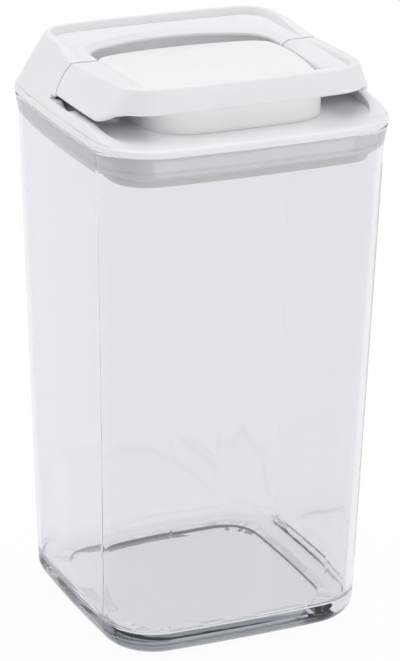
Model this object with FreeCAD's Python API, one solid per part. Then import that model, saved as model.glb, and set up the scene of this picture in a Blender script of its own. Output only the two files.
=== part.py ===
import FreeCAD, Part
import math
import os

# Square clear storage box with a flip-lever airtight lid.
# Millimetres, +Z up, front at -Y, origin under the middle of the base.

# Clear container
rim_height = 177.0
rim_half = 52.5
rim_corner = 20.0
side_bow = 600.0
rim_flare = 1.2
rim_flare_depth = 7.0
container_wall = 2.3
mouth_land_depth = 14.0
base_half = 46.6
base_corner = 19.0
base_edge_round = 7.0
rim_edge_round = 0.8
floor_top = 7.5
floor_round = 3.5
foot_width = 4.0
foot_recess_depth = 2.5

# White lid shell: a low sloped mound on a flat flange
flange_thickness = 2.6
flange_edge_round = 1.1
flange_foot_round = 0.4
mound_inset = 0.6
lid_rise = 20.0
plateau_setback = 10.0
plateau_corner = 11.0
mound_edge_round = 0.9
rim_inner_round = 0.4
shell_wall = 2.2
tray_depth = 2.5
tray_rim = 2.3
tray_draft = 0.5
tray_notch_rise = 0.1
tray_notch_back = 24.0

# Opening that the lever and the cover share, seen from above
arch_side_width = 9.9
arch_taper = 1.8
arch_back_width = 13.5
arch_back_radius = 60.0
arch_corner = 12.0
arch_edge_slant = 1.8
arch_lip_thickness = 2.7
arch_overhang = 2.0

# Flip lever
lip_setback = 0.2
lip_height = 9.1
lip_edge_round = 1.0
lever_edge_drop = 13.2
lever_sweep_back = 4.3
lever_sweep_run = 13.0
cheek_thickness = 2.0
axle_boss_radius = 3.9
axle_boss_length = 6.0
lever_rib_thickness = 1.4
lever_rib_places = (14.0, 24.0)

# Hinge of the lever
hinge_set_forward = 3.0
swing_margin = 2.7
swing_gap = 0.6
axle_radius = 1.5
axle_fit = 0.02
axle_running_fit = 0.06
axle_end = 1.8
clip_radius = 2.7
clip_thickness = 0.8
clip_gap = 0.1

# Side wings of the cover below the lever arms
wing_rise = 5.4
wing_gap = 0.3
wing_sill_width = 2.5
wing_slit_back = 7.0
wing_fade_lead = 1.0
wing_fade_run = 17.0

# Domed deck under the lever
deck_front_gap = 0.5
deck_front_drop = 7.0
deck_crown_drop = 3.5
deck_crown_forward = 8.0
deck_back_drop = 7.9
deck_thickness = 1.5
deck_gap = 0.4
deck_back_gap = 3.6
deck_corner_extra = 6.8
deck_edge_round = 2.4
deck_seat = 1.2
axle_notch_gap = 0.7

# Lid base, the inner frame that plugs the mouth
collar_gap = 0.6
collar_wall = 2.0
collar_depth = 5.0
base_web = 1.6
pillar_inset = 10.55
pillar_radius = 3.2
hinge_block_gap = 0.4
hinge_block_width = 5.5
hinge_block_depth = 10.0
hinge_block_cover = 1.1
hinge_block_top_gap = 0.4

# Press that squeezes the seal
press_travel = 1.6
press_gap = 0.4
press_side_gap = 0.5
press_ring_width = 5.0
press_bar_width = 10.0
press_bar_drop = 2.2
post_radius = 2.0
post_inset = 4.0
post_gap = 0.3

# Crosshead and its two cams
crosshead_end_gap = 2.0
crosshead_width = 8.0
crosshead_thickness = 2.0
cam_place_share = 0.5625
cam_width_share = 0.3125
cam_hub_radius = 2.6
cam_radius = 3.4
cam_throw = 1.17
cam_lead_angle = 30.0
cam_front_trim = 1.4
cam_gap = 0.25

# Seal and the clear plate below it
seal_height = 3.4
seal_gap = 0.25
seal_bulge = 1.1
seal_width = 5.2
seal_top_gap = 0.1
plate_thickness = 2.5
plate_inset = 3.4
plate_corner = 12.0

# Small screws
screw_shank_radius = 0.9
screw_head_radius = 1.9
screw_head_height = 1.0
screw_hole_gap = 0.15
screw_tip_gap = 0.3
plate_screw_bite = 3.0
crosshead_screw_bite = 6.0
cover_screw_share = 0.325
cover_screw_along = 14.0
cover_boss_radius = 2.7
cover_boss_height = 1.2
cover_screw_bite = 3.2

# One length past a face for every cut, and how close two levels count as the same
overrun = 5.0
level_tolerance = 0.02

# Heights and widths that follow from the sizes above
neck_half = rim_half - rim_flare
mouth_half = neck_half - container_wall
mouth_corner = rim_corner - rim_flare - container_wall
flange_top = rim_height + flange_thickness
lid_top = rim_height + lid_rise
plateau_half = rim_half - plateau_setback
tray_floor = lid_top - tray_depth
tray_floor_half = plateau_half - tray_rim - tray_draft
tray_corner = plateau_corner - tray_rim - tray_draft
lip_front = plateau_half - lip_setback
lip_thickness = lip_front - tray_floor_half
arch_half = plateau_half - arch_side_width
arch_front_half = arch_half - arch_taper
arch_back = plateau_half - arch_back_width
deck_front = tray_floor_half - deck_front_gap
deck_front_corner = tray_corner + deck_corner_extra
mound_half = rim_half - mound_inset
mound_corner = rim_corner - mound_inset
mound_slope = (mound_half - plateau_half) / (lid_top - flange_top)
hinge_y = -hinge_set_forward
hinge_block_top = lid_top - deck_crown_drop - deck_thickness - hinge_block_top_gap
hinge_z = hinge_block_top - hinge_block_cover - axle_radius
swing_radius = tray_floor - hinge_z + swing_margin
lever_edge = lid_top - lever_edge_drop
lip_bottom = lid_top - lip_height
lever_sweep_end = lip_front - lever_sweep_back
lever_sweep_start = lever_sweep_end - lever_sweep_run
wing_top = rim_height + wing_rise
wing_fade_start = lever_sweep_start - wing_fade_lead
wing_fade_end = wing_fade_start + wing_fade_run
wing_inner_half = mound_half - mound_slope * (lever_edge - flange_top) + wing_gap
collar_half = mouth_half - collar_gap
collar_corner = mouth_corner - collar_gap
collar_bottom = rim_height - collar_depth
web_bottom = rim_height - base_web
hinge_block_outer = arch_half - deck_gap - deck_thickness - deck_seat - hinge_block_gap
hinge_block_inner = hinge_block_outer - hinge_block_width
press_bottom = collar_bottom - seal_top_gap
press_top = web_bottom - press_travel - press_gap
press_half = collar_half - collar_wall - press_side_gap
press_corner = collar_corner - collar_wall - press_side_gap
seal_bottom = press_bottom - seal_height
seal_inner_half = mouth_half - seal_gap - seal_width
plate_bottom = seal_bottom - plate_thickness
plate_half = mouth_half - plate_inset
cam_drop = cam_throw * math.cos(math.radians(cam_lead_angle)) + cam_radius
crosshead_top = hinge_z - cam_drop - cam_gap
crosshead_bottom = crosshead_top - crosshead_thickness
crosshead_half_length = hinge_block_inner - crosshead_end_gap
post_place = crosshead_half_length - post_inset
cam_place = cam_place_share * post_place
cam_width = cam_width_share * post_place
boss_end = arch_half + axle_boss_length
axle_half_length = boss_end + clip_gap + clip_thickness + axle_end
pillar_place = seal_inner_half - pillar_inset
pillar_places = [(x, y) for x in (-pillar_place, pillar_place) for y in (-pillar_place, pillar_place)]
cover_screw_across = arch_half + cover_screw_share * (collar_half - collar_wall - arch_half)
cover_screw_places = [(x, y) for x in (-cover_screw_across, cover_screw_across)
                      for y in (-cover_screw_along, cover_screw_along)]
post_places = [(x, hinge_y) for x in (-post_place, post_place)]


def point(x, y, z):
    return FreeCAD.Vector(x, y, z)


def arc(start, middle, end):
    return Part.Arc(start, middle, end).toShape()


def line(start, end):
    return Part.LineSegment(start, end).toShape()


def bowed_square(half, corner, z):
    """Closed outline of a square whose sides bow out and whose corners are tangent arcs."""
    back = half - side_bow
    reach = side_bow - corner
    centre = (2 * back + math.sqrt(4 * back ** 2 - 8 * (back ** 2 - reach ** 2))) / 4
    turn = math.atan2(centre, centre - back)
    end = point(side_bow * math.sin(turn), back + side_bow * math.cos(turn), z)
    tip = centre + corner / math.sqrt(2)
    edges = []
    for quarter in range(4):
        spin = FreeCAD.Rotation(point(0, 0, 1), -90 * quarter)
        side = [point(-end.x, end.y, z), point(0, half, z), end]
        bend = [end, point(tip, tip, z), point(end.y, end.x, z)]
        edges.append(arc(*[spin.multVec(p) for p in side]))
        edges.append(arc(*[spin.multVec(p) for p in bend]))
    return Part.Wire(edges)


def loft(wires, ruled=True):
    return Part.makeLoft(wires, True, ruled)


def prism(wire, height):
    return Part.Face(wire).extrude(point(0, 0, height))


def square_slab(half, corner, low, high):
    return prism(bowed_square(half, corner, low), high - low)


def block(x, y, z):
    """Box from three pairs of limits."""
    return Part.makeBox(x[1] - x[0], y[1] - y[0], z[1] - z[0], point(x[0], y[0], z[0]))


def rod_x(radius, start, end, y=hinge_y, z=hinge_z):
    return Part.makeCylinder(radius, end - start, point(start, y, z), point(1, 0, 0))


def rod_z(radius, place, low, high):
    return Part.makeCylinder(radius, high - low, point(place[0], place[1], low), point(0, 0, 1))


def across_x(edges, half):
    """Solid swept along X, from -half to half, of an outline drawn in the YZ plane."""
    face = Part.Face(Part.Wire(edges))
    face.translate(point(-half, 0, 0))
    return face.extrude(point(2 * half, 0, 0))


def polygon_yz(corners):
    points = [point(0, y, z) for y, z in corners]
    return [line(a, b) for a, b in zip(points, points[1:] + points[:1])]


def mirrored(shape):
    return shape.mirror(point(0, 0, 0), point(1, 0, 0))


def joined(shapes):
    return shapes[0].fuse(shapes[1:]).removeSplitter()


def edges_where(shape, test):
    return [edge for edge in shape.Edges if test(edge)]


def bowed_end(half, end, radius, corner):
    """One bowed end of an outline: where its arc meets the corner arc, the corner's middle and its end."""
    corner_x = half - corner
    centre_y = end - radius
    corner_y = centre_y + math.sqrt((radius - corner) ** 2 - corner_x ** 2)
    turn = math.atan2(corner_x, corner_y - centre_y)
    middle = (turn + math.pi / 2) / 2
    meet = point(radius * math.sin(turn), centre_y + radius * math.cos(turn), 0)
    bend = point(corner_x + corner * math.sin(middle), corner_y + corner * math.cos(middle), 0)
    return meet, bend, point(half, corner_y, 0)


def arch_outline(inset, z, front, front_half, back_gap):
    """Plan of the opening: sides that close in to the front, a bowed front and a bowed, round back."""
    half = arch_half - inset
    back = arch_back - inset - back_gap
    meet, bend, side = bowed_end(half, back, arch_back_radius - inset, arch_corner - inset)
    front_side = front + side_bow - math.sqrt(side_bow ** 2 - front_half ** 2)
    return [
        arc(point(-meet.x, meet.y, z), point(0, back, z), point(meet.x, meet.y, z)),
        arc(point(meet.x, meet.y, z), point(bend.x, bend.y, z), point(half, side.y, z)),
        line(point(half, side.y, z), point(half, hinge_y, z)),
        line(point(half, hinge_y, z), point(front_half, front_side, z)),
        arc(point(front_half, front_side, z), point(0, front, z), point(-front_half, front_side, z)),
        line(point(-front_half, front_side, z), point(-half, hinge_y, z)),
        line(point(-half, hinge_y, z), point(-half, side.y, z)),
        arc(point(-half, side.y, z), point(-bend.x, bend.y, z), point(-meet.x, meet.y, z)),
    ]


def arch_prism(inset, low, high):
    """The shared opening, inset all round, as far forward as the inside of the lever's lip."""
    outline = arch_outline(inset, low, -plateau_half, arch_front_half - inset, 0)
    body = prism(Part.Wire(outline), high - low)
    return body.common(square_slab(tray_floor_half - inset, tray_corner - inset, low, high))


def arch_flare():
    """Slanted edge of the opening, where it widens to the tray's floor."""
    low = tray_floor - arch_edge_slant
    foot = arch_outline(0, low, -plateau_half, arch_front_half, 0)
    brim = arch_outline(-arch_edge_slant, tray_floor, -plateau_half, arch_front_half + arch_edge_slant, 0)
    body = loft([Part.Wire(foot), Part.Wire(brim)])
    return body.common(square_slab(tray_floor_half, tray_corner, low, tray_floor))


def mound(inset):
    """The sloped outer form of the lid, or its inside at one wall's depth."""
    foot = bowed_square(mound_half - inset, mound_corner - inset, flange_top)
    crest = bowed_square(plateau_half - inset, plateau_corner - inset, lid_top)
    return loft([foot, crest])


def tray_recess():
    low = bowed_square(tray_floor_half, tray_corner, tray_floor)
    high = bowed_square(tray_floor_half + tray_draft, tray_corner + tray_draft, lid_top)
    return loft([low, high])


def above_rim_line(high_y, seam_y):
    """Everything above the tray's rim, which falls in a straight line to the seam."""
    low = tray_floor + tray_notch_rise
    fall = (lid_top - low) / (high_y - seam_y)
    past = seam_y - math.copysign(lid_rise, high_y)
    top = lid_top + lid_rise
    corners = [(high_y, lid_top), (past, lid_top - fall * (high_y - past)), (past, top), (high_y, top)]
    return across_x(polygon_yz(corners), rim_half)


def seam_at_floor(radius):
    return hinge_y + math.sqrt(radius ** 2 - (tray_floor - hinge_z) ** 2)


def make_container():
    neck_height = rim_height - rim_flare_depth
    land_bottom = rim_height - mouth_land_depth
    outer = loft([
        bowed_square(base_half, base_corner, 0),
        bowed_square(neck_half, rim_corner - rim_flare, neck_height),
        bowed_square(rim_half, rim_corner, rim_height),
    ])
    outer_foot = edges_where(outer, lambda e: e.BoundBox.ZMax < base_edge_round)
    outer = outer.makeFillet(base_edge_round, outer_foot)
    outer_rim = edges_where(outer, lambda e: e.BoundBox.ZMin > rim_height - level_tolerance)
    outer = outer.makeFillet(rim_edge_round, outer_rim)
    floor_half = base_half + (neck_half - base_half) * floor_top / neck_height - container_wall
    inner = loft([
        bowed_square(floor_half, base_corner - container_wall, floor_top),
        bowed_square(mouth_half, mouth_corner, land_bottom),
        bowed_square(mouth_half, mouth_corner, rim_height + overrun),
    ])
    inner_foot = edges_where(inner, lambda e: e.BoundBox.ZMax < floor_top + floor_round)
    inner = inner.makeFillet(floor_round, inner_foot)
    foot_inset = base_edge_round + foot_width
    recess_corner = base_corner - base_edge_round
    recess = square_slab(base_half - foot_inset, recess_corner, -overrun, foot_recess_depth)
    return outer.cut([inner, recess])


def make_lid_base():
    web = square_slab(collar_half, collar_corner, web_bottom, rim_height)
    collar = square_slab(collar_half, collar_corner, collar_bottom, rim_height)
    room_corner = collar_corner - collar_wall
    room = square_slab(collar_half - collar_wall, room_corner, collar_bottom - overrun, web_bottom)
    pillars = [rod_z(pillar_radius, place, collar_bottom, rim_height) for place in pillar_places]
    side = (hinge_block_inner, hinge_block_outer)
    depth = (hinge_y - hinge_block_depth / 2, hinge_y + hinge_block_depth / 2)
    right_block = block(side, depth, (web_bottom, hinge_block_top))
    top_round = hinge_block_depth / 2 - hinge_block_cover
    right_block = right_block.makeFillet(top_round, edges_where(
        right_block, lambda e: e.BoundBox.ZMin > hinge_z and e.BoundBox.XLength > hinge_block_width / 2))
    body = joined([web, collar.cut(room)] + pillars + [right_block, mirrored(right_block)])
    hole = screw_shank_radius + screw_hole_gap
    head = screw_head_radius + screw_hole_gap
    cuts = [rod_x(axle_radius + axle_running_fit, -rim_half, rim_half)]
    for place in pillar_places:
        cuts.append(rod_z(hole, place, collar_bottom - overrun, rim_height + overrun))
        cuts.append(rod_z(head, place, rim_height - screw_head_height, rim_height + overrun))
    for place in cover_screw_places:
        cuts.append(rod_z(hole, place, web_bottom - overrun, rim_height + overrun))
    for place in post_places:
        cuts.append(rod_z(post_radius + post_gap, place, web_bottom - overrun, rim_height + overrun))
    return body.cut(cuts)


def make_lid_cover():
    flange = square_slab(rim_half, rim_corner, rim_height, flange_top)
    flange_rim = edges_where(flange, lambda e: e.BoundBox.ZMin > flange_top - level_tolerance)
    flange = flange.makeFillet(flange_edge_round, flange_rim)
    flange_foot = edges_where(flange, lambda e: e.BoundBox.ZMax < rim_height + level_tolerance)
    flange = flange.makeFillet(flange_foot_round, flange_foot)
    swept = swing_radius + swing_gap
    seam_y = seam_at_floor(swept)
    hood = mound(0).cut(above_rim_line(tray_notch_back, seam_y))
    hood = hood.makeFillet(mound_edge_round, edges_where(hood, rim_edge_behind_seam))
    hood = hood.cut(tray_recess())
    rear = block((-rim_half, rim_half), (hinge_y, rim_half), (flange_top, lid_top))
    hood = hood.common(rear.cut(rod_x(swept, -rim_half, rim_half)))
    inside = mound(shell_wall).common(block(
        (-rim_half, rim_half), (-rim_half, rim_half), (flange_top, tray_floor - shell_wall)))
    well = arch_prism(-arch_overhang - shell_wall, flange_top, tray_floor)
    opening = arch_prism(0, flange_top, lid_top)
    undercut = arch_prism(-arch_overhang, flange_top, tray_floor - arch_lip_thickness)
    hood = hood.cut(inside.cut(well)).cut([opening, undercut, arch_flare()])
    slit = block((-rim_half, rim_half), (hinge_y, wing_slit_back), (wing_top, lever_edge))
    hood = hood.cut(slit.cut(arch_prism(-arch_overhang - shell_wall, flange_top, tray_floor)))
    wing_profile = across_x(polygon_yz([
        (-wing_fade_end, flange_top), (-wing_fade_start, wing_top), (hinge_y + swept, wing_top),
        (hinge_y + swept, flange_top)]), rim_half)
    side_wall = mound(0).common(wing_profile)
    wing = side_wall.cut(square_slab(wing_inner_half, mound_corner, rim_height, lid_top))
    sill_half = wing_inner_half - wing_sill_width
    sill = side_wall.cut(square_slab(sill_half, mound_corner, rim_height, lid_top))
    sill = sill.cut(rod_x(swept, -rim_half, rim_half))
    seat = deck_block(deck_thickness + deck_seat)
    seat.translate(point(0, 0, -flange_thickness - overrun))
    bosses = [rod_z(cover_boss_radius, place, rim_height, flange_top + cover_boss_height)
              for place in cover_screw_places]
    body = joined([flange.cut(seat), hood, wing, sill] + bosses)
    holes = [rod_z(screw_shank_radius + screw_hole_gap, place, rim_height - overrun,
                   rim_height + cover_screw_bite + screw_tip_gap) for place in cover_screw_places]
    return body.cut(holes)


def rim_edge_behind_seam(edge):
    box = edge.BoundBox
    return box.ZMax > tray_floor + tray_notch_rise and box.ZMin > tray_floor - tray_depth and box.YMin > 0


def lever_outline(half, front, corner, z):
    """Plan of the lever: bowed sides and front with tangent corners, cut straight behind the hinge."""
    side = half - side_bow
    nose = front - side_bow
    reach = side_bow - corner
    slant = side / nose
    offset = -(nose ** 2 + side ** 2) / (2 * nose)
    root = math.sqrt(slant ** 2 * offset ** 2 - (1 + slant ** 2) * (offset ** 2 - reach ** 2))
    x = (root - slant * offset) / (1 + slant ** 2)
    y = slant * x + offset + nose
    grow = side_bow / reach
    toe = point(x * grow, -nose - (y - nose) * grow, z)
    flank = point(side + (x - side) * grow, -y * grow, z)
    aim = point(2 * x - side, nose - 2 * y, 0).normalize()
    bend = point(x, -y, z) + aim * corner
    back = hinge_y + swing_radius + overrun
    heel = point(side + math.sqrt(side_bow ** 2 - back ** 2), back, z)
    middle = (flank.y + back) / 2
    waist = point(side + math.sqrt(side_bow ** 2 - middle ** 2), middle, z)
    right = [toe, bend, flank, waist, heel]
    left = [point(-p.x, p.y, z) for p in right]
    return Part.Wire([
        arc(left[0], point(0, -front, z), right[0]),
        arc(right[0], right[1], right[2]),
        arc(right[2], right[3], right[4]),
        line(right[4], left[4]),
        arc(left[4], left[3], left[2]),
        arc(left[2], left[1], left[0]),
    ])


def lever_form(inset, front_inset):
    """Outer form of the lever, upright in front and sloped at the sides, or its inside when inset."""
    front = lip_front - front_inset
    foot = lever_outline(mound_half - inset, front, mound_corner - inset, flange_top)
    crest = lever_outline(plateau_half - inset, front, plateau_corner - inset, lid_top)
    return loft([foot, crest])


def hinge_side(radius):
    """Everything in front of the hinge, and behind it only what stays inside the swing."""
    front = block((-rim_half, rim_half), (-rim_half, hinge_y), (rim_height, lid_top + overrun))
    return front.fuse(rod_x(radius, -rim_half, rim_half))


def below_lever():
    """Space under the lever: level at the sides, sweeping up in two arcs to the lip's lower edge."""
    start_y = -lever_sweep_start
    run = (lever_sweep_end - lever_sweep_start) / 2
    rise = (lip_bottom - lever_edge) / 2
    radius = (run ** 2 + rise ** 2) / (2 * rise)
    turn = math.atan2(rise, run)
    bow_y = radius * math.sin(turn)
    bow_z = radius * (1 - math.cos(turn))
    start = point(0, start_y, lever_edge)
    middle = point(0, start_y - run, lever_edge + rise)
    end = point(0, start_y - 2 * run, lip_bottom)
    corners = [(end.y, end.z), (-rim_half, lip_bottom), (-rim_half, rim_height), (rim_half, rim_height),
               (rim_half, lever_edge), (start.y, start.z)]
    edges = polygon_yz(corners)[:-1]
    edges.append(arc(start, point(0, start.y - bow_y, start.z + bow_z), middle))
    edges.append(arc(middle, point(0, end.y + bow_y, end.z - bow_z), end))
    return across_x(edges, rim_half)


def lever_crest():
    """Outer form of the lever above its lower edge, with that edge and the sloping rim rounded outside."""
    body = lever_form(0, 0).cut(above_rim_line(-plateau_half, seam_at_floor(swing_radius)))
    body = body.makeFillet(mound_edge_round, edges_where(body, lever_rim_edge))
    body = body.common(hinge_side(swing_radius)).cut(below_lever())
    return body.makeFillet(lip_edge_round, edges_where(body, lever_lower_edge))


def lever_rim_edge(edge):
    box = edge.BoundBox
    seam_end = box.YLength < tray_notch_rise and box.XLength > plateau_half
    return box.ZMin > hinge_z + tray_depth and box.ZLength < tray_depth and not seam_end


def lever_hollow():
    """Inside of the two arms between the ribs, open below."""
    inside = lever_form(shell_wall, lip_thickness).common(hinge_side(swing_radius - shell_wall))
    inside = inside.common(block((-rim_half, rim_half), (-rim_half, rim_half),
                                 (rim_height, tray_floor - shell_wall)))
    inside = inside.cut(arch_prism(-cheek_thickness, rim_height, lid_top))
    half_rib = lever_rib_thickness / 2
    ribs = [block((-rim_half, rim_half), (-place - half_rib, -place + half_rib), (rim_height, lid_top))
            for place in lever_rib_places]
    return inside.cut(ribs)


def lever_lower_edge(edge):
    box = edge.BoundBox
    low = box.ZMin > lever_edge - level_tolerance and box.ZMax < lip_bottom + level_tolerance
    return low and box.YLength > level_tolerance


def tray_rim_inner_edge(edge):
    box = edge.BoundBox
    reach = tray_floor_half + tray_draft + level_tolerance
    inside = max(abs(box.XMin), abs(box.XMax), -box.YMin) < reach
    return inside and box.ZMin > tray_floor + tray_notch_rise / 2 and box.XLength + box.YLength > tray_depth


def make_lever():
    body = lever_crest().cut([tray_recess(), lever_hollow()])
    body = body.cut([arch_prism(0, rim_height, lid_top), arch_flare()])
    body = body.makeFillet(rim_inner_round, edges_where(body, tray_rim_inner_edge))
    boss = rod_x(axle_boss_radius, arch_half, boss_end)
    body = joined([body, boss, mirrored(boss)])
    return body.cut(rod_x(axle_radius + axle_fit, -boss_end, boss_end))


def arch_side(y):
    """Half width of the opening at a place along Y, in front of the hinge."""
    share = (hinge_y - y) / (hinge_y + plateau_half)
    return arch_half + (arch_front_half - arch_half) * share


def deck_block(inset):
    front = -deck_front + inset
    gap = deck_gap + inset
    outline = arch_outline(gap, flange_top, front, arch_side(-deck_front) - gap, deck_back_gap)
    body = prism(Part.Wire(outline), lid_rise)
    uprights = edges_where(
        body, lambda e: e.BoundBox.ZLength > lid_rise / 2 and e.BoundBox.YMax < hinge_y * 2)
    return body.makeFillet(deck_front_corner - inset, uprights)


def under_dome(drop):
    """Everything below the crowned top of the deck, or below its underside."""
    top = lid_top - drop
    front = point(0, -deck_front, top - deck_front_drop)
    crown = point(0, -deck_crown_forward, top - deck_crown_drop)
    back = point(0, arch_back, top - deck_back_drop)
    foot_front = point(0, -deck_front, rim_height)
    foot_back = point(0, arch_back, rim_height)
    sides = [line(back, foot_back), line(foot_back, foot_front), line(foot_front, front)]
    return across_x([arc(front, crown, back)] + sides, rim_half)


def make_deck_panel():
    body = deck_block(0).common(under_dome(0))
    top_rim = edges_where(body, lambda e: e.BoundBox.ZMin > flange_top + tray_depth)
    body = body.makeFillet(deck_edge_round, top_rim)
    body = body.cut(deck_block(deck_thickness).common(under_dome(deck_thickness)))
    notch = axle_radius + axle_notch_gap
    slot = block((-rim_half, rim_half), (hinge_y - notch, hinge_y + notch), (flange_top - overrun, hinge_z))
    return body.cut([rod_x(notch, -rim_half, rim_half), slot])


def make_lever_axle():
    return rod_x(axle_radius, -axle_half_length, axle_half_length)


def make_axle_clips():
    start = boss_end + clip_gap
    clip = rod_x(clip_radius, start, start + clip_thickness).cut(rod_x(axle_radius + axle_fit, 0, rim_half))
    return Part.makeCompound([clip, mirrored(clip)])


def make_cam(side):
    lead = math.radians(cam_lead_angle)
    start = side * cam_place - cam_width / 2
    end = start + cam_width
    lobe_y = hinge_y - cam_throw * math.sin(lead)
    lobe_z = hinge_z - cam_throw * math.cos(lead)
    lobe = rod_x(cam_radius, start, end, lobe_y, lobe_z)
    trim = block((start, end), (hinge_y - cam_front_trim, rim_half), (rim_height, lid_top))
    hub = rod_x(cam_hub_radius, start, end)
    return joined([hub, lobe.common(trim)]).cut(rod_x(axle_radius + axle_fit, start, end))


def make_crosshead():
    width = (hinge_y - crosshead_width / 2, hinge_y + crosshead_width / 2)
    body = block((-crosshead_half_length, crosshead_half_length), width, (crosshead_bottom, crosshead_top))
    uprights = edges_where(body, lambda e: e.BoundBox.ZLength > crosshead_thickness / 2)
    body = body.makeFillet(crosshead_thickness, uprights)
    hole = screw_shank_radius + screw_hole_gap
    return body.cut([rod_z(hole, place, crosshead_bottom - overrun, lid_top) for place in post_places])


def make_press_ring():
    inner_half = press_half - press_ring_width
    ring = square_slab(press_half, press_corner, press_bottom, press_top)
    inner_corner = press_corner - press_ring_width
    ring = ring.cut(square_slab(inner_half, inner_corner, press_bottom - overrun, rim_height))
    width = (hinge_y - press_bar_width / 2, hinge_y + press_bar_width / 2)
    reach = press_half - press_ring_width / 2
    bar = block((-reach, reach), width, (press_bottom, press_top))
    rib_half = inner_half - press_side_gap
    rib = block((-rib_half, rib_half), width, (press_bottom - press_bar_drop, press_top))
    posts = [rod_z(post_radius, place, press_bottom, crosshead_bottom) for place in post_places]
    hole = screw_shank_radius + axle_fit
    depth = crosshead_bottom - crosshead_screw_bite - screw_tip_gap
    holes = [rod_z(hole, place, depth, lid_top) for place in post_places]
    return joined([ring, bar, rib] + posts).cut(holes)


def make_gasket():
    outer_half = mouth_half - seal_gap
    corner = mouth_corner - seal_gap
    middle = (seal_bottom + press_bottom) / 2
    outer = loft([
        bowed_square(outer_half - seal_bulge, corner - seal_bulge, seal_bottom),
        bowed_square(outer_half, corner, middle),
        bowed_square(outer_half - seal_bulge, corner - seal_bulge, press_bottom),
    ], False)
    return outer.cut(square_slab(seal_inner_half, corner - seal_width, seal_bottom - overrun, rim_height))


def make_base_plate():
    body = square_slab(plate_half, plate_corner, plate_bottom, seal_bottom)
    bosses = [rod_z(pillar_radius, place, plate_bottom, collar_bottom) for place in pillar_places]
    depth = collar_bottom - plate_screw_bite - screw_tip_gap
    holes = [rod_z(screw_shank_radius + axle_fit, place, depth, rim_height) for place in pillar_places]
    return joined([body] + bosses).cut(holes)


def screw(place, seat, tip):
    """Screw whose head lies on its seat, with its tip above or below it."""
    lift = math.copysign(screw_head_height, seat - tip)
    head = rod_z(screw_head_radius, place, min(seat, seat + lift), max(seat, seat + lift))
    shank = rod_z(screw_shank_radius, place, min(seat, tip), max(seat, tip))
    return joined([head, shank])


def make_plate_screws():
    tip = collar_bottom - plate_screw_bite
    return Part.makeCompound([screw(place, rim_height - screw_head_height, tip) for place in pillar_places])


def make_crosshead_screws():
    tip = crosshead_bottom - crosshead_screw_bite
    return Part.makeCompound([screw(place, crosshead_top, tip) for place in post_places])


def make_cover_screws():
    tip = rim_height + cover_screw_bite
    return Part.makeCompound([screw(place, web_bottom, tip) for place in cover_screw_places])


def make_all():
    return {
        "container": make_container(),
        "lid_base": make_lid_base(),
        "lid_cover": make_lid_cover(),
        "deck_panel": make_deck_panel(),
        "lever": make_lever(),
        "lever_axle": make_lever_axle(),
        "axle_clips": make_axle_clips(),
        "cam_left": make_cam(-1),
        "cam_right": make_cam(1),
        "crosshead": make_crosshead(),
        "press_ring": make_press_ring(),
        "gasket": make_gasket(),
        "base_plate": make_base_plate(),
        "plate_screws": make_plate_screws(),
        "crosshead_screws": make_crosshead_screws(),
        "cover_screws": make_cover_screws(),
    }


os.makedirs("parts", exist_ok=True)
for name, shape in make_all().items():
    print(name, shape.isValid(), len(shape.Solids), round(shape.Volume, 1))
    shape.exportStep("parts/" + name + ".step")
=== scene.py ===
import math

import bmesh
import bpy
from mathutils import Matrix, Vector


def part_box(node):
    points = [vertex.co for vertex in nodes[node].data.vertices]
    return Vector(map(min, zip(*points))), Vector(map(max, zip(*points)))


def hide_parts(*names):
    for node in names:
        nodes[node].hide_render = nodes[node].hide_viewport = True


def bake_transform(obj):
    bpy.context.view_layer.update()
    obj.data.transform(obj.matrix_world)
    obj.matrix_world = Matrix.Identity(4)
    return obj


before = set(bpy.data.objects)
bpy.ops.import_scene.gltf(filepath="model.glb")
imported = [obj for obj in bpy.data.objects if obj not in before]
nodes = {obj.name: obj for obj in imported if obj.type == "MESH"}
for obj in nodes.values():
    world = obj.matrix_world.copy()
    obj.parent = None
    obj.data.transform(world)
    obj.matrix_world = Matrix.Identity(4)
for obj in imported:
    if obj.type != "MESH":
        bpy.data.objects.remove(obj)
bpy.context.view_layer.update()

# Square clear storage box with a flip-lever airtight lid, dressed for a white studio table.
scene = bpy.context.scene

EYE = Vector((-0.4086, -0.9079, 0.4750))
AIM = Vector((0.0, 0.0, 0.0971))
ROLL = 0.66
LENS = 170.8
SIDE_SHIFT = 0.0056
RISE_SHIFT = -0.0011
SENSOR = 36.0
NEAR = 0.05
FAR = 60.0

FLOOR_SIZE = 12.0
FLOOR_TONE = 0.97
FLOOR_ROUGHNESS = 0.9
FLOOR_GLOW = 0.93
ROOM_LEVEL = 0.59
BOX_MIDDLE = (0.0, 0.0, 0.15)
FRONT_MIDDLE = (0.0, 0.0, 0.14)

FLOW_SCALE = 55.0
GLOSS_SCALE = 140.0
GRAIN_SCALE = 2600.0
GRAIN_DEPTH = 0.00005
EDGE_WEAR = 0.0005
WHITE_IOR = 1.5
WHITE_SOFTNESS = 0.25
WHITE_SOFT_REACH = (0.0014, 0.0014, 0.0015)

CLEAR_IOR = 1.57
CLEAR_HAZE = 0.03
CLEAR_HAZE_SCALE = 60.0
WAVE_SCALE = 45.0
WAVE_STRENGTH = 0.04
WAVE_DEPTH = 0.0004
PLATE_CLEARNESS = 0.25

CLOUD_SCALE = 180.0
CLOUD_SHADE = 0.95
SEAL_SOFTNESS = 0.2
SEAL_SOFT_REACH = (0.002, 0.002, 0.002)
DRAWN_SCALE = 900.0

WELD = 0.00001
SEAL_STEPS = 12
SEAL_SKIN = 0.0022
SEAL_GROOVE = 0.0005
SEAL_CORNER = 0.58


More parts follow.
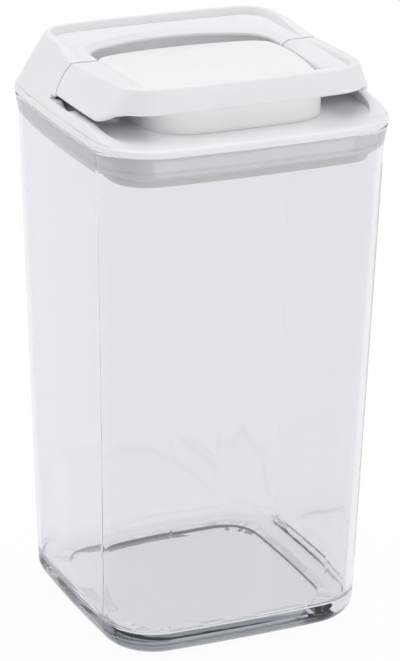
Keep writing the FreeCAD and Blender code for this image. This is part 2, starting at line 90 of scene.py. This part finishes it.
def place_camera():
    data = bpy.data.cameras.new("photo_camera")
    data.sensor_fit = "AUTO"
    data.sensor_width = SENSOR
    data.lens = LENS
    data.shift_x = SIDE_SHIFT
    data.shift_y = RISE_SHIFT
    data.dof.use_dof = False
    data.clip_start = NEAR
    data.clip_end = FAR
    camera = bpy.data.objects.new("photo_camera", data)
    scene.collection.objects.link(camera)
    turn = (AIM - EYE).to_track_quat("-Z", "Y").to_matrix()
    tilt = Matrix.Rotation(math.radians(ROLL), 3, "Z")
    camera.matrix_world = Matrix.Translation(EYE) @ (turn @ tilt).to_4x4()
    scene.camera = camera


def add_node(tree, kind, **inputs):
    made = tree.nodes.new(kind)
    for name, value in inputs.items():
        made.inputs[name.replace("_", " ")].default_value = value
    return made


def start_material(name):
    material = bpy.data.materials.new(name)
    material.use_nodes = True
    tree = material.node_tree
    shader = tree.nodes["Principled BSDF"]
    return material, tree, shader


def object_noise(tree, scale, detail, roughness=0.5):
    """Noise on the piece's own coordinates, in metres."""
    place = tree.nodes.new("ShaderNodeTexCoord")
    noise = add_node(tree, "ShaderNodeTexNoise", Scale=scale, Detail=detail, Roughness=roughness)
    tree.links.new(place.outputs["Object"], noise.inputs["Vector"])
    return noise


def spread(tree, source, low, high, start=0.3, end=0.7):
    """Maps a pattern onto a range of values."""
    made = add_node(tree, "ShaderNodeMapRange")
    made.inputs["From Min"].default_value = start
    made.inputs["From Max"].default_value = end
    made.inputs["To Min"].default_value = low
    made.inputs["To Max"].default_value = high
    tree.links.new(source, made.inputs["Value"])
    return made.outputs["Result"]


def two_tones(tree, pattern, dark, light, shader):
    """Lets a pattern run the surface's colour between two tones."""
    blend = tree.nodes.new("ShaderNodeMix")
    blend.data_type = "RGBA"
    blend.inputs["A"].default_value = (*dark, 1.0)
    blend.inputs["B"].default_value = (*light, 1.0)
    tree.links.new(spread(tree, pattern.outputs["Fac"], 0.0, 1.0), blend.inputs["Factor"])
    tree.links.new(blend.outputs["Result"], shader.inputs["Base Color"])


def moulded_white(name, tone, shade, gloss_low, gloss_high, grain):
    """Satin moulded plastic: faint flow variation in tone, uneven gloss and a fine spark-eroded grain."""
    material, tree, shader = start_material(name)
    two_tones(tree, object_noise(tree, FLOW_SCALE, 3.0), shade, tone, shader)
    smear = object_noise(tree, GLOSS_SCALE, 4.0)
    tree.links.new(spread(tree, smear.outputs["Fac"], gloss_low, gloss_high), shader.inputs["Roughness"])
    fine = object_noise(tree, GRAIN_SCALE, 2.0)
    edge = add_node(tree, "ShaderNodeBevel", Radius=EDGE_WEAR)
    bump = add_node(tree, "ShaderNodeBump", Strength=grain, Distance=GRAIN_DEPTH)
    tree.links.new(edge.outputs["Normal"], bump.inputs["Normal"])
    tree.links.new(fine.outputs["Fac"], bump.inputs["Height"])
    tree.links.new(bump.outputs["Normal"], shader.inputs["Normal"])
    shader.inputs["IOR"].default_value = WHITE_IOR
    shader.inputs["Subsurface Weight"].default_value = WHITE_SOFTNESS
    shader.inputs["Subsurface Radius"].default_value = WHITE_SOFT_REACH
    shader.inputs["Subsurface Scale"].default_value = 1.0
    return material


def clear_plastic(name, skin, tint, depth):
    """Clear polystyrene: slightly wavy skin, and a blue-grey tint that builds up with thickness."""
    material, tree, shader = start_material(name)
    shader.inputs["Base Color"].default_value = (*skin, 1.0)
    shader.inputs["Transmission Weight"].default_value = 1.0
    shader.inputs["IOR"].default_value = CLEAR_IOR
    smear = object_noise(tree, CLEAR_HAZE_SCALE, 3.0)
    tree.links.new(spread(tree, smear.outputs["Fac"], 0.0, CLEAR_HAZE), shader.inputs["Roughness"])
    wave = object_noise(tree, WAVE_SCALE, 1.0)
    bump = add_node(tree, "ShaderNodeBump", Strength=WAVE_STRENGTH, Distance=WAVE_DEPTH)
    tree.links.new(wave.outputs["Fac"], bump.inputs["Height"])
    tree.links.new(bump.outputs["Normal"], shader.inputs["Normal"])
    soak = add_node(tree, "ShaderNodeVolumeAbsorption", Density=depth)
    soak.inputs["Color"].default_value = (*tint, 1.0)
    tree.links.new(soak.outputs["Volume"], tree.nodes["Material Output"].inputs["Volume"])
    return material


def silicone(name, tone):
    """Matte, slightly cloudy seal rubber."""
    material, tree, shader = start_material(name)
    cloud = object_noise(tree, CLOUD_SCALE, 3.0)
    two_tones(tree, cloud, [part * CLOUD_SHADE for part in tone], tone, shader)
    tree.links.new(spread(tree, cloud.outputs["Fac"], 0.45, 0.6), shader.inputs["Roughness"])
    shader.inputs["Subsurface Weight"].default_value = SEAL_SOFTNESS
    shader.inputs["Subsurface Radius"].default_value = SEAL_SOFT_REACH
    return material


def drawn_steel(name):
    """Bright steel with uneven gloss along its drawing marks."""
    material, tree, shader = start_material(name)
    shader.inputs["Base Color"].default_value = (0.62, 0.63, 0.65, 1.0)
    shader.inputs["Metallic"].default_value = 1.0
    draw = object_noise(tree, DRAWN_SCALE, 3.0)
    tree.links.new(spread(tree, draw.outputs["Fac"], 0.30, 0.42), shader.inputs["Roughness"])
    return material


def dress(node, material):
    """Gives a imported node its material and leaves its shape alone."""
    mesh = nodes[node].data
    mesh.materials.clear()
    mesh.materials.append(material)


def make_seal(material):
    """Soft seal ring: the plain ring with two sealing ridges round its outer face, held by lid and press."""
    low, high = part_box("gasket")
    height = high[2] - low[2]
    form = bmesh.new()
    form.from_mesh(nodes["gasket"].data)
    bmesh.ops.remove_doubles(form, verts=form.verts, dist=WELD)
    for step in range(1, SEAL_STEPS):
        level = low[2] + height * step / SEAL_STEPS
        bmesh.ops.bisect_plane(form, geom=form.verts[:] + form.edges[:] + form.faces[:], dist=0.000001,
                               plane_co=(0.0, 0.0, level), plane_no=(0.0, 0.0, 1.0))
    ridge_from = max(high[0], high[1]) - SEAL_SKIN
    for vert in form.verts:
        reach = max(abs(vert.co.x), abs(vert.co.y), (abs(vert.co.x) + abs(vert.co.y)) * SEAL_CORNER)
        if reach > ridge_from:
            share = (vert.co.z - low[2]) / height
            sink = SEAL_GROOVE * (0.5 + 0.5 * math.cos(4.0 * math.pi * share)) * math.sin(math.pi * share)
            vert.co.x -= math.copysign(sink, vert.co.x) * abs(vert.co.x) / reach
            vert.co.y -= math.copysign(sink, vert.co.y) * abs(vert.co.y) / reach
    bmesh.ops.recalc_face_normals(form, faces=form.faces)
    for face in form.faces:
        face.smooth = True
    mesh = bpy.data.meshes.new("seal_ring")
    form.to_mesh(mesh)
    form.free()
    mesh.materials.append(material)
    piece = bpy.data.objects.new("seal_ring", mesh)
    scene.collection.objects.link(piece)
    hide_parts("gasket")
    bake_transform(piece)


def light_floor():
    """White table that keeps the shadow and looks white to the camera, in mirrors and through clear walls."""
    bpy.ops.mesh.primitive_plane_add(size=FLOOR_SIZE, location=(0.0, 0.0, 0.0))
    floor = bpy.context.object
    floor.name = "studio_floor"
    material, tree, shader = start_material("white_floor")
    shader.inputs["Base Color"].default_value = (FLOOR_TONE, FLOOR_TONE, FLOOR_TONE, 1.0)
    shader.inputs["Roughness"].default_value = FLOOR_ROUGHNESS
    shader.inputs["Specular IOR Level"].default_value = 0.0
    path = tree.nodes.new("ShaderNodeLightPath")
    seen = add_node(tree, "ShaderNodeMath")
    seen.operation = "MAXIMUM"
    through = add_node(tree, "ShaderNodeMath")
    through.operation = "MAXIMUM"
    tree.links.new(path.outputs["Is Camera Ray"], seen.inputs[0])
    tree.links.new(path.outputs["Is Glossy Ray"], seen.inputs[1])
    tree.links.new(seen.outputs["Value"], through.inputs[0])
    tree.links.new(path.outputs["Is Transmission Ray"], through.inputs[1])
    share = add_node(tree, "ShaderNodeMath")
    share.operation = "MULTIPLY"
    share.inputs[1].default_value = FLOOR_GLOW
    tree.links.new(through.outputs["Value"], share.inputs[0])
    glow = add_node(tree, "ShaderNodeEmission", Strength=1.0)
    mix = tree.nodes.new("ShaderNodeMixShader")
    tree.links.new(share.outputs["Value"], mix.inputs["Fac"])
    tree.links.new(shader.outputs["BSDF"], mix.inputs[1])
    tree.links.new(glow.outputs["Emission"], mix.inputs[2])
    tree.links.new(mix.outputs["Shader"], tree.nodes["Material Output"].inputs["Surface"])
    floor.data.materials.append(material)


def soft_box(name, place, aim, size, power):
    data = bpy.data.lights.new(name, "AREA")
    data.shape = "RECTANGLE"
    data.size, data.size_y = size
    data.energy = power
    lamp = bpy.data.objects.new(name, data)
    lamp.location = place
    lamp.rotation_euler = (Vector(aim) - Vector(place)).to_track_quat("-Z", "Y").to_euler()
    scene.collection.objects.link(lamp)


def room_light(level):
    world = bpy.data.worlds.new("studio_room")
    scene.world = world
    world.use_nodes = True
    back = world.node_tree.nodes["Background"]
    back.inputs["Color"].default_value = (1.0, 1.0, 1.0, 1.0)
    back.inputs["Strength"].default_value = level


white = moulded_white("satin_white", (0.85, 0.855, 0.868), (0.83, 0.835, 0.848), 0.32, 0.42, 0.12)
deck_white = moulded_white("gloss_white", (0.89, 0.892, 0.89), (0.87, 0.872, 0.87), 0.30, 0.38, 0.06)
# The inner parts get a lighter white than the lid as painted light: it brightens the collar, press ring and
# crosshead, which sit in shade under the lid.
inner = moulded_white("inner_white_painted_light", (0.96, 0.962, 0.965), (0.94, 0.942, 0.945), 0.40, 0.50, 0.10)
cam_white = moulded_white("cam_acetal", (0.74, 0.73, 0.69), (0.72, 0.71, 0.67), 0.30, 0.40, 0.08)
clear = clear_plastic("clear_body", (0.885, 0.895, 0.91), (0.63, 0.66, 0.70), 26.0)
# The plate's warm near-white skin is painted light: it stands in for warm light bounced from contents that
# are not modelled and brightens the shaded plate. The lower clearness that makes it milky is the plate's own.
plate_clear = clear_plastic("milky_plate_painted_warm_light", (1.0, 0.985, 0.955), (0.9, 0.9, 0.9), 4.0)
plate_clear.node_tree.nodes["Principled BSDF"].inputs["Transmission Weight"].default_value = PLATE_CLEARNESS
# The seal's pale tone is partly the silicone's own colour and partly painted light, lifted to brighten the
# shaded band under the lid.
rubber = silicone("seal_silicone", (0.97, 0.965, 0.95))
steel = drawn_steel("drawn_steel")

dress("container", clear)
dress("base_plate", plate_clear)
for name in ("lid_cover", "lever"):
    dress(name, white)
dress("deck_panel", deck_white)
for name in ("lid_base", "press_ring", "crosshead"):
    dress(name, inner)
for name in ("cam_left", "cam_right"):
    dress(name, cam_white)
make_seal(rubber)
for name in ("lever_axle", "axle_clips", "plate_screws", "crosshead_screws", "cover_screws"):
    dress(name, steel)

place_camera()
light_floor()
nodes["container"].visible_shadow = False
nodes["base_plate"].visible_shadow = False
room_light(ROOM_LEVEL)
soft_box("top_box", (0.0, 0.1, 1.7), BOX_MIDDLE, (1.6, 1.6), 13.5)
soft_box("left_box", (-1.4, 0.7, 0.8), BOX_MIDDLE, (1.0, 1.0), 3.4)
soft_box("right_box", (1.2, -1.3, 0.5), BOX_MIDDLE, (0.8, 0.8), 2.8)
soft_box("low_box", (0.2, -1.4, 0.14), FRONT_MIDDLE, (1.2, 0.25), 1.7)

scene.view_settings.view_transform = "Standard"
scene.cycles.max_bounces = 24
scene.cycles.diffuse_bounces = 12
scene.cycles.glossy_bounces = 16
scene.cycles.transmission_bounces = 20
